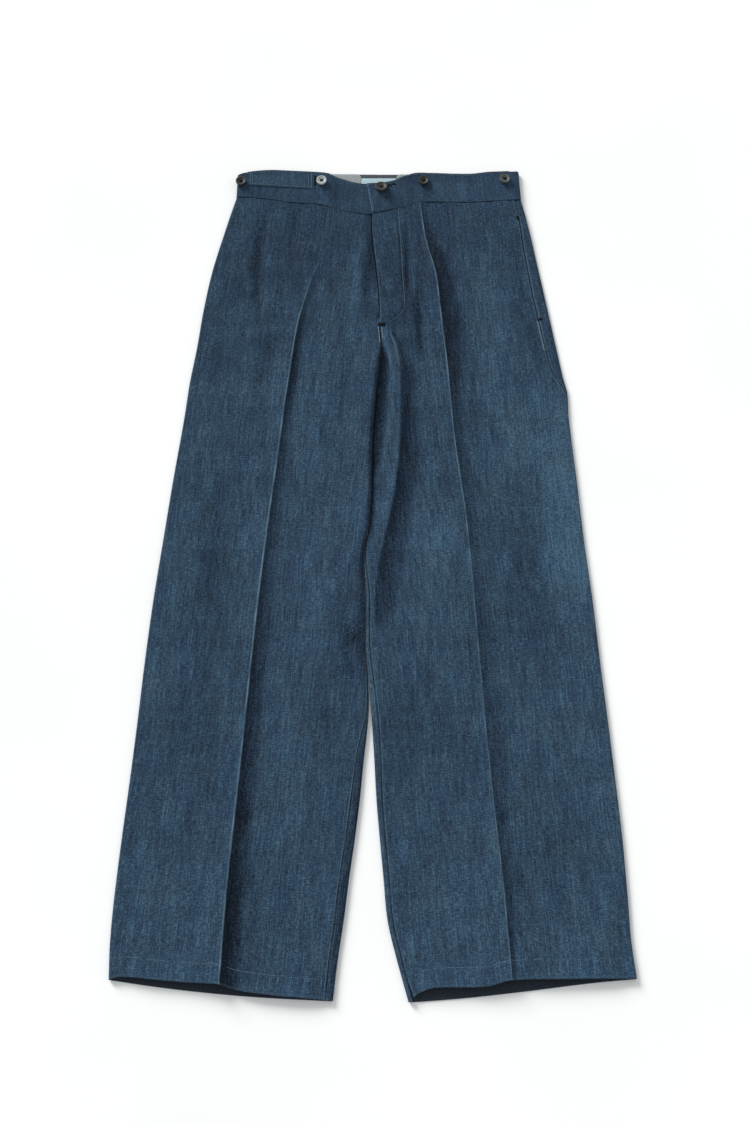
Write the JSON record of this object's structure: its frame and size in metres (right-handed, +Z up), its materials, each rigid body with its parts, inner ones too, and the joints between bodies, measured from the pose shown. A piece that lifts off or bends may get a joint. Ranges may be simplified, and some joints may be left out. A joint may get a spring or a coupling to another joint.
{
  "type": "wide-leg denim trousers laid flat",
  "caption": "High-waisted wide-leg denim trousers lying flat, front up, with pressed creases, an overlapping fly, a buttoned waistband with brace buttons, and turned-up hems.",
  "frame": {"origin": "middle of the garment's outline, on the surface that it lies on", "axes": "+X to the viewer's right across the garment, +Y from the hems to the waist, +Z up from the surface"},
  "size_m": [0.6162, 1.1133, 0.017],
  "materials": {
    "denim": "slubby indigo twill, matt",
    "denim_band": "slubby indigo twill, matt",
    "lining_cloth": "plain grey cotton, matt",
    "label_cloth": "pale blue woven tape, blank",
    "horn": "dark brown horn, polished",
    "shell": "grey shell, polished"
  },
  "bodies": {
    "root": {"front_leg_left": "denim", "back_leg_left": "denim", "front_leg_right": "denim", "back_leg_right": "denim", "waistband_left": "denim_band", "waistband_right": "denim_band", "watch_pocket": "denim_band", "waist_lining_left": "lining_cloth", "waist_lining_right": "lining_cloth", "waist_label": "label_cloth", "waist_button": "horn", "brace_button_outer_left": "horn", "brace_button_inner_left": "shell", "brace_button_inner_right": "horn", "brace_button_outer_right": "horn"}
  },
  "joints": []
}
